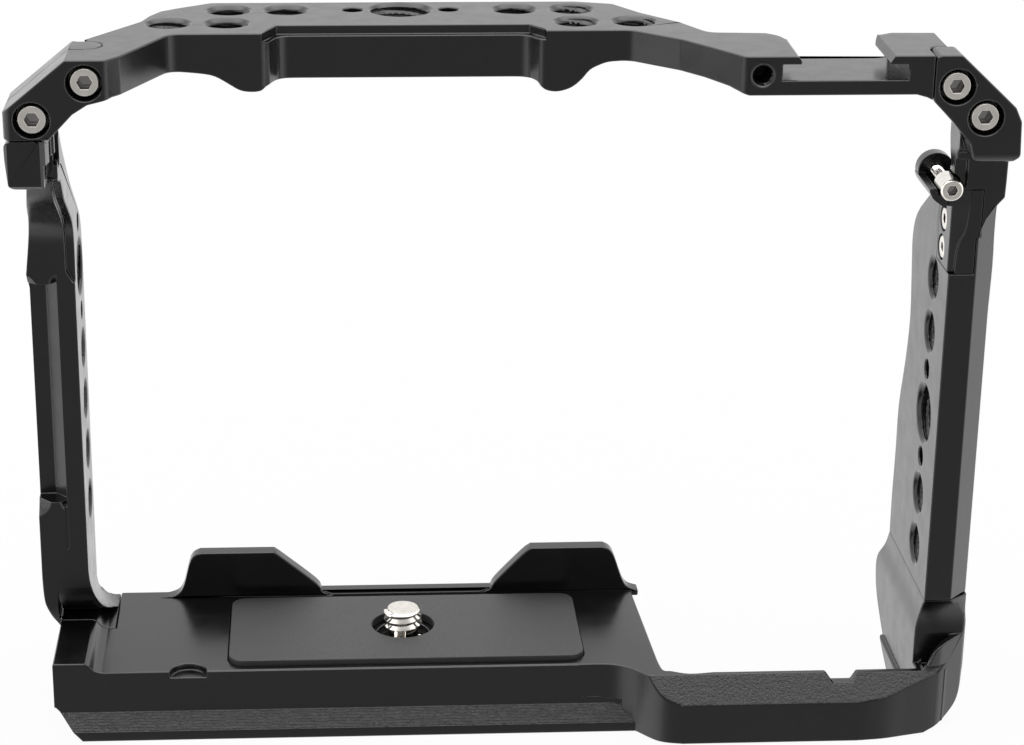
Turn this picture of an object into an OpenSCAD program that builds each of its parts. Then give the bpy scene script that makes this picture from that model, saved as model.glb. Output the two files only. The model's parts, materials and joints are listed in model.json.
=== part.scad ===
// Camera cage: a bolted frame of four anodised plates that surrounds a camera body.
// Frame: the camera screw's axis is x = 0, y = 0; the base's underside is z = 0.
// +x runs toward the strap lug side, -y toward the back of the camera, +z up.

/* [Overall size] */
// outer face of the left side plate, from the screw axis
left_reach = 59.9; // [58.5:0.1:64]
// outer face of the right side plate, from the screw axis
right_reach = 92.1; // [90:0.1:98]
// height of the top face of the cage
cage_h = 115.35; // [112:0.05:124]
// near faces of the joint arms, from the screw axis
near_reach = 25; // [24.6:0.1:26.5]

/* [Base plate] */
// height of the flat that carries the camera
base_top = 11.15; // [10.8:0.05:12]
// near face of the base, from the screw axis
base_near = 14.6; // [14.2:0.1:15.4]
// far face of the base, from the screw axis
base_far = 16.2; // [15.8:0.1:17]
// right end of the solid base, from the screw axis
base_right = 41.5; // [41:0.1:43]
// height of the raised land beside the left side plate
land_h = 12.8; // [12.4:0.1:13.4]
// width across the lips of the dovetail
dovetail_w = 38; // [37.9:0.05:38.1]
// height of the dovetail's lips
dovetail_lip = 1.6; // [1.4:0.1:2]
// height of the dovetail's 45 degree flanks, top end
dovetail_top = 4.2; // [4:0.1:4.5]
// near face of the bar in front of the battery door
bar_near = 22; // [21.6:0.1:22.6]
// thickness of that bar
bar_t = 4; // [3.6:0.1:4.6]
// height of the two stop tabs above the underside
tab_h = 19.4; // [17:0.1:22]
// thickness of the stop tabs
tab_t = 2.6; // [2.2:0.1:2.9]

/* [Camera pad and screw] */
// length of the rubber pad
pad_l = 58.4; // [50:0.2:62]
// depth of the rubber pad
pad_w = 24; // [20:0.2:25]
// stand of the pad above the base
pad_proud = 0.9; // [0.6:0.1:1.4]
// depth of the recess that the pad sits in
pad_seat = 0.6; // [0.4:0.1:0.9]
// major diameter of the camera screw
screw_d = 6.35; // [6.3:0.01:6.4]
// reach of the camera screw above the pad
screw_reach = 3; // [2.4:0.1:4]
// diameter of the camera screw's head
screw_head_d = 15; // [13:0.1:16]
// hole through the pad around the camera screw
pad_hole_d = 10.4; // [9.8:0.1:11]
// hole in the base around the camera screw
screw_hole_d = 8.4; // [8.2:0.1:9.4]

/* [Side plates] */
// thickness of the left side plate
left_t = 7.7; // [7:0.1:8.5]
// thickness of the right side plate's bar
right_t = 7.5; // [7:0.1:8]
// depth of the rail groove in the left side plate
rail_depth = 1.9; // [1.5:0.1:2.2]
// lower end of the rail groove
rail_z0 = 34; // [32:0.5:38]
// upper end of the rail groove, below the top face
rail_drop = 40.85; // [38:0.05:44]
// width of the strap slots
strap_slot = 2.9; // [2.4:0.1:3.1]

/* [Threads] */
// bore of the 1/4-20 tapped holes
bore_quarter = 5.2; // [5.1:0.05:5.4]
// bore of the 3/8-16 tapped holes
bore_three8 = 7.95; // [7.85:0.05:8.2]
// mouth of the 1/4-20 tapped holes
mouth_quarter = 7; // [6.4:0.1:7.4]
// mouth of the 3/8-16 tapped holes
mouth_three8 = 10; // [9.6:0.1:10.4]
// bore of the locating pin holes
bore_pin = 3.1; // [3:0.05:3.3]
// pitch of the rows of 1/4-20 holes
hole_pitch = 9; // [8.8:0.1:9.2]

/* [Joint screws] */
// major diameter of the joint screws
joint_d = 2.5; // [2.4:0.1:2.7]
// head diameter of the joint screws
joint_head_d = 4.5; // [4.3:0.1:4.7]
// counterbore over the joint screws
joint_cb_d = 5.4; // [5.2:0.1:5.6]
// major diameter of the bracket and lug screws
small_d = 2; // [1.9:0.1:2.1]

/* [Cold shoe] */
// width of the shoe's slot
shoe_w = 18.8; // [18.6:0.05:19]
// opening between the shoe's lips
shoe_gap = 13.2; // [12.6:0.1:13.6]
// height of the shoe's slot
shoe_h = 2.4; // [2.2:0.1:2.5]

/* [Strap lug anchor] */
// outer radius of the anchor's nose
ear_r = 2.9; // [2.7:0.05:3]
// gap between the nose and the lug screw's head
ear_gap = 6.1; // [5.4:0.1:6.6]
// diameter of the lug screw's head
lug_head_d = 3.5; // [3.3:0.1:3.6]

/* [Hidden] */
$fn = 48;
eps = 0.02;
seam = 0.08;          // gap of the visible seams
fit = 0.03;           // radial play of a screw in its tapped hole
clear = 0.15;         // radial play of a screw in its clearance hole
spin = 0.06;          // radial play of a screw that turns in a plain hole
xl = -left_reach;
xr = right_reach;
zt = cage_h;
yn = -near_reach;

// height on a side plate, stretched with the cage
function rise(z) = 23.4 + (z - 23.4) * (zt - 23.4) / 91.95;

rail_z1 = zt - rail_drop;

// planes of the joints
arm_l_far = yn + 7.1;
tongue_l_far = yn + 12.3;
tongue_l_x = xl + 12.3;
tongue_l_r = (tongue_l_far - arm_l_far) / 2;
arm_r_far = yn + 6;
seam_x = xr - 13.9;
arm_l_z = zt - 12.05;
neck_z = zt - 12.35;

// left side plate
xli = xl + left_t;
bar_l_near = 0.3;
rail_w = 2.15;
bar_l_far = 15;
hole_y_l = 9.3;
hole_z_l = rise(72.9);

// right side plate
xri = xr - 8.1;
xro = xri + right_t;
post_z = 23.4;
post_near = -16;
plate_r_near = -18.5;
hole_y_r = -8.8;
hole_z_r = rise(52.43);

// foot of the left side plate and its seat in the base
foot_z = 5.2;
foot_x0 = xl + 2.6;
foot_x1 = xl + 11.6;
foot_y0 = 2.2;
flare_k = 0.55;
flare_y = 21.7;
foot_y1 = base_far - 0.5;

// camera screw
head_recess = 5.2;
web_top = 8.2;
screw_head_h = 2.2;
head_top = head_recess - 1.2;
pad_top = base_top + pad_proud;
screw_tip = pad_top + screw_reach;
neck_d = screw_d - 1.15;
clip_t = 0.6;

// strap lug anchor
lug_x = xri - 0.85;
lug_z = zt - 22.1;
lug_head_y = -20.7;
lug_head_l = 5;
nose_near = lug_head_y + lug_head_l + ear_gap;
nose_far = nose_near + 3.2;

// pocket of the lug bracket
brk_z0 = zt - 36.15;
brk_z1 = zt - 22.7;
brk_x1 = xri + 4.6;
brk_far = -10;

tripod_x = 22;
tripod_depth = 7.8;

black = [0.13, 0.13, 0.135];
rubber = [0.08, 0.08, 0.08];
nickel = [0.72, 0.7, 0.67];

// ---------- helpers ----------

// prism of an (x, z) outline between two y planes
module xz(y0, y1) {
  translate([0, y1, 0]) rotate([90, 0, 0]) linear_extrude(y1 - y0) children();
}

// prism of a (y, z) outline between two x planes
module yz(x0, x1) {
  translate([x0, 0, 0]) rotate([90, 0, 90]) linear_extrude(x1 - x0) children();
}

// prism of an (x, y) outline between two z planes
module xy(z0, z1) {
  translate([0, 0, z0]) linear_extrude(z1 - z0) children();
}

// box between two corners
module box(a, b) {
  translate(a) cube(b - a);
}

// rounds the outer corners by r and the inner corners by q
module soft(r, q) {
  offset(r = -q) offset(delta = q) offset(r = r) offset(delta = -r) children();
}

// points of an arc
function arc(cx, cy, r, a0, a1, n) =
  [for (i = [0 : n]) [cx + r * cos(a0 + (a1 - a0) * i / n), cy + r * sin(a0 + (a1 - a0) * i / n)]];

// smooth curve through a list of points
function cr(p0, p1, p2, p3, t) =
  0.5 * (2 * p1 + (p2 - p0) * t + (2 * p0 - 5 * p1 + 4 * p2 - p3) * t * t
  + (3 * p1 - p0 - 3 * p2 + p3) * t * t * t);
function curve(p, n) = let(k = len(p)) [
  for (i = [0 : k - 2]) for (j = [0 : n - 1])
    cr(p[max(i - 1, 0)], p[i], p[i + 1], p[min(i + 2, k - 1)], j / n),
  p[k - 1]];

// cylinder along y between two planes
module rod_y(x, z, r, y0, y1) {
  translate([x, y1, z]) rotate([90, 0, 0]) cylinder(r = r, h = y1 - y0);
}

// cylinder along x between two planes
module rod_x(y, z, r, x0, x1) {
  translate([x0, y, z]) rotate([0, 90, 0]) cylinder(r = r, h = x1 - x0);
}

// chamfered through hole, drawn along z from 0 to h
module tapped(bore, mouth, h) {
  c = (mouth - bore) / 2;
  translate([0, 0, -1]) cylinder(d = bore, h = h + 2);
  translate([0, 0, h - c]) cylinder(d1 = bore, d2 = mouth + 2, h = c + 1);
  translate([0, 0, -1]) cylinder(d1 = mouth + 2, d2 = bore, h = c + 1);
}

// blind hole that opens downward at z = 0
module blind_hole(x, y, bore, depth) {
  translate([x, y, -1]) cylinder(d = bore, h = depth + 1);
}

module hole_z(x, y, bore, mouth, z0, z1) {
  translate([x, y, z0]) tapped(bore, mouth, z1 - z0);
}

module hole_x(y, z, bore, mouth, x0, x1) {
  translate([x0, y, z]) rotate([0, 90, 0]) tapped(bore, mouth, x1 - x0);
}

// socket head screw: origin under the head, shank toward -z
module cap_screw(d, head, hh, len, key) {
  difference() {
    union() {
      translate([0, 0, -len]) cylinder(d = d, h = len + eps);
      cylinder(d = head, h = hh - 0.25);
      translate([0, 0, hh - 0.25]) cylinder(d1 = head, d2 = head - 0.5, h = 0.25);
    }
    translate([0, 0, hh - key * 0.8]) cylinder(d = key / cos(30), h = key, $fn = 6);
  }
}

// ---------- base plate ----------

dl = dovetail_w / 2;
dc = (base_far + 4.6 - base_near - 2.6) / 2;
dy0 = dc - dl;
dy1 = dc + dl;
flank = dovetail_top - dovetail_lip;

module base_outline() {
  polygon(concat(
    [[foot_x0, base_far], [foot_x0, -base_near]],
    curve([[28, -base_near], [33.5, -base_near - 0.1], [37, -base_near - 1.9],
           [41, 1.2 - bar_near], [45, -bar_near]], 5),
    [[71, -bar_near]],
    curve([[73.5, -bar_near], [78, 0.5 - bar_near], [82, 1.5 - bar_near], [84.6, 2.15 - bar_near],
           [xr - 5.2, 2.75 - bar_near]], 4),
    [[xr - 4.6, 3.05 - bar_near], [xr - 0.75, 5.9 - bar_near], [xr - 0.25, 6.5 - bar_near],
      [xr - 0.05, 7.3 - bar_near]],
    [[xr - 0.05, 11], [xri - 0.6, 11], [xri - 0.6, bar_t - bar_near]],
    curve([[50, bar_t - bar_near], [46.2, bar_t - bar_near - 0.4], [43.4, bar_t - bar_near + 0.6],
           [42, 5.2 - bar_near], [base_right, 9 - bar_near]], 4),
    [[base_right - 1.4, base_far - 2.3], [base_right - 1.4, base_far]]));
}

// upper block with the land and its cove
module base_block() {
  intersection() {
    xy(0, base_top + 8) base_outline();
    xz(-40, base_far + 1) polygon(concat(
      [[foot_x0, dovetail_top + 0.7], [foot_x0, land_h]],
      curve([[foot_x0 + 5.2, land_h], [foot_x0 + 5.9, land_h - 0.35],
             [foot_x0 + 6.7, base_top + 0.4], [foot_x0 + 7.9, base_top]], 4),
      [[base_right + 20, base_top], [base_right + 20, dovetail_top + 0.7]]));
  }
}

// dovetail body below the upper block
module dovetail() {
  difference() {
    intersection() {
      yz(foot_x0, base_right + 20) polygon([
        [dy0, 0], [dy1, 0], [dy1, dovetail_lip], [dy1 - flank, dovetail_top],
        [dy1 - flank, dovetail_top + 1], [dy0 + flank, dovetail_top + 1],
        [dy0 + flank, dovetail_top], [dy0, dovetail_lip]]);
      xy(-1, dovetail_top + 2) polygon([[foot_x0, -40], [46, -40], [40, dy0 - 0.2], [base_right, -9],
        [base_right - 1.4, base_far], [34, dy1 + 1], [foot_x0, dy1 + 1]]);
    }
    xz(-40, 40) polygon([[foot_x0 - 1, -1], [foot_x0 - 1, 5.6], [foot_x0, 5.1],
      [foot_x0 + 4.6, 0], [foot_x0 + 4.6, -1]]);
  }
}

// stop tab: near face, far face and outline
module tab(x0, x1, x2, x3) {
  xz(base_far - tab_t, base_far) polygon(concat(
    [[x0 - 1.4, base_top - 1], [x0 - 1.4, base_top]],
    curve([[x0 - 0.9, base_top + 0.1], [x0 + 0.5, base_top + 0.7], [x0 + 1.5, base_top + 2.3],
           [x1 - 0.9, tab_h - 1.2], [x1 + 0.6, tab_h]], 4),
    curve([[x2 - 0.6, tab_h], [x2 + 0.9, tab_h - 1.2],
           [x3 - 1.5, base_top + 2.3], [x3 - 0.5, base_top + 0.7], [x3 + 0.9, base_top + 0.1]], 4),
    [[x3 + 1.4, base_top], [x3 + 1.4, base_top - 1]]));
}

// bar in front of the battery door
module bar() {
  intersection() {
    xy(-1, base_top + 14) base_outline();
    union() {
      box([38, -bar_near - 1, 0], [xri + 1, bar_t - bar_near, base_top]);
      xy(0, base_top) polygon([[base_right - 6, -base_near + 1], [base_right - 6, -base_near - 6],
        [base_right + 4.6, bar_t - bar_near + 0.5], [base_right + 0.4, -base_near + 4],
        [base_right, -base_near + 8]]);
    }
  }
}

// corner under the right side plate
module post() {
  side = concat(
    [[-bar_near - 1, 0], [-6, 0]],
    curve([[0, 1.6], [7, 4.9], [13.6, 9.6], [15.6, 13.4], [15.2, 16.4], [12, 20], [9.7, post_z]], 4),
    [[plate_r_near, post_z]],
    curve([[plate_r_near, post_z], [plate_r_near + 0.9, post_z - 0.9], [plate_r_near + 1.8, post_z - 2.4],
           [plate_r_near + 2.4, post_z - 4.2], [plate_r_near + 2.6, post_z - 5.9], [post_near, post_z - 7.2]], 3),
    [[post_near, 11], [-bar_near - 1, 11]]);
  front = concat(
    [[xri - 8, 0], [xri - 8, 4], [xri - 0.6, 5]],
    [[xri - 0.6, 15.6]],
    curve([[xri - 0.6, 15.6], [xri - 0.5, 17.5], [xri - 0.1, 20.5], [xri, post_z]], 3),
    [[xro, post_z]],
    curve([[xro, post_z - 1], [xro + 0.1, 20.4], [xro + 0.5, 17.6], [xro + 0.55, 15], [xro + 0.5, 12],
           [xro + 0.3, 9], [xro + 0.1, 6.4], [xro - 0.5, 4.2], [xro - 1.6, 2.8], [xro - 3, 1.7],
           [xro - 4.6, 0.8], [xro - 6.4, 0]], 4));
  intersection() {
    yz(xri - 8, xr + 2) polygon(side);
    xz(-bar_near - 2, 20) polygon(front);
    xy(-1, post_z + 1) union() {
      base_outline();
      polygon([[xri - 1.2, plate_r_near], [xro - 3.2, plate_r_near], [xro, plate_r_near + 3.2], [xr, -11],
        [xr, 20], [xri - 1.2, 20]]);
    }
  }
  // outer rim that rises round the corner
  intersection() {
    xy(-1, post_z + 1) base_outline();
    xz(-bar_near - 2, -8) polygon(front);
    xz(-bar_near - 2, -8) polygon(concat([[xri - 2, 3], [xri - 2, base_top]],
      curve([[xri + 0.3, base_top], [xri + 1, base_top + 0.8], [xri + 1.7, base_top + 2.5],
             [xri + 2.5, base_top + 3.8], [xri + 4, base_top + 4.7], [xri + 8.1, base_top + 5.4]], 3),
      [[xr + 2, base_top + 6], [xr + 2, 3]]));
    difference() {
      box([xri - 3, -bar_near - 2, 0], [xr + 2, -8, 20]);
      xy(-1, 21) offset(delta = -1.3) base_outline();
    }
  }
}

module base_plate() {
  color(black) difference() {
    union() {
      base_block();
      dovetail();
      tab(-38.8, -35.1, -21, -13);
      tab(15.05, 21.9, 35.9, 40);
      box([-14, base_far - 2, base_top - 1], [16, base_far, base_top + 0.75]);
      bar();
      post();
    }
    // seat of the left side plate's foot
    difference() {
      box([foot_x0 - 1, foot_y0 - seam, foot_z], [foot_x1 + seam, base_far + 1, land_h + 1]);
      box([foot_x0 - 1, foot_y1 + 50, foot_z], [foot_x1, base_far + 60, land_h + 1]);
    }
    // seat of the pad
    xy(base_top - pad_seat, base_top + 1) translate([0.3, -0.8])
      offset(r = 2.5 + seam) offset(delta = -2.5) square([pad_l, pad_w], center = true);
    // captive camera screw
    translate([0, 0, -1]) cylinder(d = screw_head_d + 1.2, h = head_recess + 1);
    cylinder(d = screw_d + 2 * spin, h = web_top);
    translate([0, 0, web_top]) cylinder(d = screw_hole_d, h = base_top);
    // thumb notch at the near edge
    translate([-35.4, -base_near, base_top - 1.15]) cylinder(r = 2.95, h = 3);
    // coarse bevel along the bar
    yz(38, xr + 2) polygon([[3.6 - bar_near, base_top + 0.84], [3 - bar_near, base_top],
      [-bar_near - 1, base_top - 5.6], [-bar_near - 3, base_top + 0.84]]);
    // notch in the bar
    xz(-40, bar_t - bar_near + 1) polygon([[68.4, base_top + eps], [69.5, base_top - 1.5],
      [72.6, base_top - 1.5], [73.5, base_top + eps], [73.5, base_top + 1], [68.4, base_top + 1]]);
    // mounting holes of the underside
    blind_hole(tripod_x, dc, bore_quarter, tripod_depth);
    blind_hole(-tripod_x, dc, bore_three8, tripod_depth);
    // screws and pin of the left foot
    for (y = foot_screw_y) {
      translate([foot_screw_x, y, -1]) cylinder(d = joint_d + 2 * clear, h = foot_z + 2);
      translate([foot_screw_x, y, -1]) cylinder(d = joint_cb_d, h = foot_z - 1.4);
    }
    translate([foot_screw_x, foot_pin_y, foot_z - 3]) cylinder(r = pin_r + fit, h = 4);
    // screws and pin of the right side plate
    for (y = post_screw_y) {
      translate([post_screw_x, y, -1]) cylinder(d = joint_d + 2 * clear, h = post_z + 2);
      translate([post_screw_x, y, -1]) cylinder(d = joint_cb_d, h = post_z - 8);
    }
    translate([post_screw_x, post_pin_y, post_z - 3]) cylinder(r = pin_r + fit, h = 4);
  }
}

foot_screw_x = foot_x0 + 6.1;
foot_screw_y = [foot_y0 + 2.8, foot_y1 - 2.6];
foot_pin_y = (foot_y0 + foot_y1) / 2;
post_screw_x = xri + 3.2;
post_screw_y = [-12.6, 3.5];
post_pin_y = -5;
pin_r = 1;

module camera_pad() {
  color(rubber) difference() {
    xy(base_top - pad_seat, pad_top) translate([0.3, -0.8])
      offset(r = 2.5) offset(delta = -2.5) square([pad_l, pad_w], center = true);
    translate([0, 0, -1]) cylinder(d = pad_hole_d, h = pad_top + 2);
  }
}

module camera_screw() {
  color(nickel) difference() {
    union() {
      translate([0, 0, head_top - screw_head_h]) cylinder(d = screw_head_d, h = screw_head_h);
      translate([0, 0, head_top - eps]) cylinder(d = screw_d, h = web_top - 0.15 - head_top + eps);
      translate([0, 0, web_top - 0.15 - eps]) cylinder(d = neck_d, h = pad_top - web_top + 0.15 + 2 * eps);
      translate([0, 0, pad_top]) cylinder(d = screw_d, h = screw_reach - 0.6);
      translate([0, 0, screw_tip - 0.6 - eps]) cylinder(d1 = screw_d, d2 = screw_d - 1.2, h = 0.6 + eps);
    }
    box([-6, -0.7, 0], [6, 0.7, head_top - screw_head_h + 1.1]);
    translate([0, 0, head_top - screw_head_h - 1]) cylinder(d = 4 / cos(30), h = 3.4, $fn = 6);
  }
}

module camera_screw_clip() {
  color(nickel) translate([0, 0, web_top + eps]) difference() {
    cylinder(d = screw_hole_d - 0.4, h = clip_t);
    translate([0, 0, -1]) cylinder(d = neck_d + 2 * spin, h = 3);
    translate([0, -neck_d / 2 + 0.3, -1]) cube([8, neck_d - 0.6, 3]);
  }
}

// ---------- left side plate ----------

module left_profile() {
  polygon(concat(
    [[bar_l_far, base_top], [foot_y0, base_top], [1.8, 12.2], [bar_l_near, 16.5], [bar_l_near, rail_z1]],
    curve([[bar_l_near + 0.2, rail_z1 + 3.4], [0.1, zt - 34.35], [-2, zt - 31.35], [-5.5, zt - 28.95],
           [-11.5, zt - 25.15], [-15.5, zt - 21.2], [-17.5, zt - 20]], 4),
    [[-17.5, zt - 18]],
    [[tongue_l_far, zt - 13]],
    curve([[tongue_l_far, zt - 13.6], [-10.6, zt - 16.2], [-6.4, zt - 20.1], [1.2, zt - 26.35],
           [8, zt - 30.95], [12.6, zt - 34.35], [14.4, zt - 37.15], [bar_l_far, zt - 40.35]], 4)));
}

// flare that leads the bar's inner face into its foot, wider toward the near edge
module left_flare() {
  d = sqrt(1 + 2 * flare_k * flare_k);
  reach = flare_y - bar_l_near;
  difference() {
    intersection() {
      yz(xli - 0.5, foot_x1) polygon([[bar_l_near, base_top], [bar_l_near, base_top + flare_k * reach],
        [foot_y1, base_top + flare_k * (flare_y - foot_y1)], [foot_y1, base_top]]);
      xy(base_top, base_top + 20) polygon([[xli - 1, bar_l_near], [xli + flare_k * reach, bar_l_near],
        [xli + flare_k * (flare_y - foot_y1), foot_y1], [xli - 1, foot_y1]]);
    }
    translate([xli, flare_y, base_top]) rotate(a = acos(flare_k / d), v = [1, flare_k, 0])
      cylinder(r1 = 0, r2 = 36 * flare_k / sqrt(1 + flare_k * flare_k), h = 36);
  }
}

// cut with its right flank leaning 45 degrees from x at the near face, rounded at both ends
module rail_cut(x, z0, z1, r0, r1) {
  xy(z0, z1) polygon([[x + 1, bar_l_near - 1], [x - 4, bar_l_near + 4], [x - 8, bar_l_near + 4],
    [x - 8, bar_l_near - 1]]);
  translate([x - r0, bar_l_near - 1, z0]) rotate([-90, 0, 0]) cylinder(r1 = r0 + 1, r2 = 0, h = r0 + 1);
  translate([x - r1, bar_l_near - 1, z1]) rotate([-90, 0, 0]) cylinder(r1 = r1 + 1, r2 = 0, h = r1 + 1);
}

module left_side_plate() {
  color(black) difference() {
    union() {
      // bar with the cove to its foot
      difference() {
        union() {
          left_flare();
          intersection() {
            yz(xl, xli) left_profile();
            xz(-30, 20) polygon(concat(
              [[xl + 2.6, base_top], [xli, base_top], [xli, zt - 35], [xli - 0.1, zt - 14],
                [xli - 0.4, zt - 12.15], [xl + 0.5, zt - 12.15]],
              curve([[xl + 0.5, zt - 17], [xl + 1.3, zt - 19.2], [xl + 2.4, zt - 21.2],
                [xl + 2.2, zt - 24], [xl + 1.4, zt - 28.5], [xl + 0.7, zt - 34.5], [xl, rail_z1]], 3),
              curve([[xl, 21], [xl + 0.25, 17], [xl + 1.2, 14], [xl + 2.4, 12]], 4)));
          }
        }
        // hollow under the chin
        yz(xl + 2.5, foot_x1 + 1) polygon(concat([[bar_l_near - 2, 10], [bar_l_near - 2, 19.6]],
          curve([[bar_l_near, 19.6], [bar_l_near + 0.2, 18], [bar_l_near + 1, 16.4], [bar_l_near + 2.9, 14.6],
                 [bar_l_near + 6.2, 12.9], [bar_l_near + 10.4, base_top]], 4), [[bar_l_near + 10.4, 10]]));
      }
      // foot
      box([foot_x0, foot_y0, foot_z], [foot_x1, foot_y1, base_top]);
      intersection() {
        box([foot_x0, foot_y0, foot_z], [foot_x1, foot_y1, land_h + 2]);
        xz(-40, 40) polygon(concat([[foot_x0, foot_z], [foot_x0, land_h]],
          curve([[foot_x0 + 5.2, land_h], [foot_x0 + 5.9, land_h - 0.35],
                 [foot_x0 + 6.7, base_top + 0.4], [foot_x0 + 7.9, base_top]], 4),
          [[60, base_top], [60, foot_z]]));
      }
      // strap block
      intersection() {
        xz(yn, tongue_l_far) soft(1.2, 0.01) polygon([[xl + 0.5, zt - 12.15], [xl + 0.6, zt - 15],
          [xl + 1.1, zt - 19.6], [xl + 7, zt - 19.6], [xl + 7, zt - 12.15]]);
        xy(0, zt) polygon([[xl + 1.1, yn], [xl + 5.9, yn], [xl + 6.6, yn + 0.7], [xl + 7.3, yn + 4],
          [xl + 7.3, tongue_l_far], [xl + 0.4, tongue_l_far], [xl + 0.4, yn + 0.8]]);
        yz(xl, xli) polygon([[yn, zt - 12.15], [tongue_l_far, zt - 12.15],
          [tongue_l_far, zt - 20], [yn + 0.6, zt - 19.6], [yn, zt - 19]]);
      }
      // tongue behind the top plate's arm
      intersection() {
        xz(arm_l_far, tongue_l_far) polygon([[xl + 0.6, zt - 16], [xli - 0.4, zt - 16],
          [xl + 7.3, zt - 11.95], [xl + 10.9, zt - 8.15], [xl + 13.1, zt - 6.75],
          [xl + 16, zt - 6], [xl + 16, zt], [xl + 10.2, zt], [xl + 9.95, zt - 0.15],
          [xl + 0.6, zt - 7.85]]);
        xy(0, zt) union() {
          translate([tongue_l_x, arm_l_far + tongue_l_r]) circle(r = tongue_l_r - seam);
          translate([xl, arm_l_far]) square([tongue_l_x - xl - 1.5, 2 * tongue_l_r]);
          translate([xl, arm_l_far]) square([tongue_l_x - xl, 2 * tongue_l_r - seam]);
        }
      }
    }
    // outer bevel of the rail, run out at both ends
    rail_cut(xl + rail_w, rail_z0 + 1.4, rail_z1 - 4.2, 3.2, 5);
    // groove beside the rail's edge
    intersection() {
      rail_cut(xl + rail_w + 0.65 + 2 * rail_depth, rail_z0 + 1, rail_z1 - 1.8,
        rail_depth - 0.35, rail_depth - 0.35);
      box([xl, bar_l_near - 1, 20], [xl + rail_w + 0.65 + rail_depth, bar_l_near + 4, zt]);
    }
    // fine line below the groove
    box([xl + 4.35, bar_l_near - 1, 26.6], [xl + 4.7, bar_l_near + 0.25, rail_z0 + 2]);
    // inner strip of the sweep
    intersection() {
      xz(yn - 1, 12) polygon([[xli - 1.4, zt - 16], [xli - 1.4, rail_z1 + 0.4], [xli - 0.4, rail_z1 - 1.5],
        [xli + 1, rail_z1 - 1.5], [xli + 1, zt - 16]]);
      translate([0, 1.4, 0]) difference() {
        box([xl - 1, yn - 3, zt - 45.35], [xli + 2, 12, zt - 14]);
        yz(xl - 2, xli + 3) left_profile();
        box([xl - 2, 5, zt - 55.35], [xli + 3, 30, zt]);
        box([xl - 2, -19, zt - 21], [xli + 3, 30, zt]);
      }
    }
    // strap slots
    yz(xl - 1, xli + 1) soft(1, 0.01) translate([yn + 2.7, zt - 18.6]) square([strap_slot, 5.7]);
    yz(xl - 1, xli + 1) soft(1, 0.01) translate([arm_l_far + 1.2, zt - 18.6]) square([strap_slot - 0.2, 5.7]);
    // tapped and locating holes
    hole_x(hole_y_l, hole_z_l, bore_three8, mouth_three8, xl, xli);
    for (s = [-1, 1]) rod_x(hole_y_l, hole_z_l + s * 7.55, bore_pin / 2, xl - 1, xli + 1);
    for (i = [0 : 3]) hole_x(hole_y_l, hole_z_l - 14 - i * hole_pitch, bore_quarter, mouth_quarter, xl, xli);
    // joint screws
    rod_y(xl + 12.8, zt - 3.45, joint_d / 2 + fit, arm_l_far - 1, tongue_l_far + 1);
    rod_y(xl + 4.9, zt - 9, joint_d / 2 + fit, arm_l_far - 1, tongue_l_far + 1);
    for (y = foot_screw_y) translate([foot_screw_x, y, foot_z - 1]) cylinder(d = joint_d + 2 * fit, h = 5.2);
    translate([foot_screw_x, foot_pin_y, foot_z - 1]) cylinder(r = pin_r + fit, h = 4);
  }
}

// ---------- right side plate ----------

module right_profile() {
  polygon(concat(
    [[plate_r_near, post_z], [9.7, post_z]],
    curve([[9.8, rise(30)], [9.3, rise(39)], [9.2, rise(47)], [6.6, rise(56)], [5.3, rise(64)],
           [6.6, rise(72)], [7.4, rise(77.5)], [5.2, rise(82)], [-2, zt - 28.3], [-6.6, zt - 25.3],
           [-10.6, zt - 23], [-13.6, zt - 20.9], [-14.7, zt - 19.4], [-13.8, zt - 17.6], [-13, zt - 15]], 3),
    [[-13, neck_z], [arm_r_far - 0.5, neck_z], [arm_r_far - 0.5, zt - 16], [plate_r_near, zt - 16.6]]));
}

module right_arm() {
  intersection() {
    xz(yn, arm_r_far) soft(1, 0.8) polygon([[seam_x + seam, zt], [xr - 9.9, zt], [xr - 1.2, zt - 8.1],
      [xr - 0.2, zt - 10.25], [xr, zt - 15.6], [xr - 0.9, zt - 16.7], [xr - 6.9, zt - 16.7],
      [xr - 7.3, zt - 15.4], [xr - 7.8, zt - 13.6], [xr - 11.05, zt - 9.8], [seam_x + seam, zt - 6.95]]);
    yz(seam_x, xr + 1) polygon(concat([[arm_r_far, zt], [yn, zt]],
      arc(yn + 1.6, zt - 15.1, 1.6, 180, 270, 5), [[arm_r_far, zt - 16.7]]));
    xy(0, zt + 1) polygon(concat([[xr + 1, arm_r_far], [xr + 1, yn - 1], [seam_x + seam, yn - 1]],
      arc(seam_x + 2 + seam, arm_r_far - 2, 2, 180, 90, 8)));
  }
}

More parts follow.
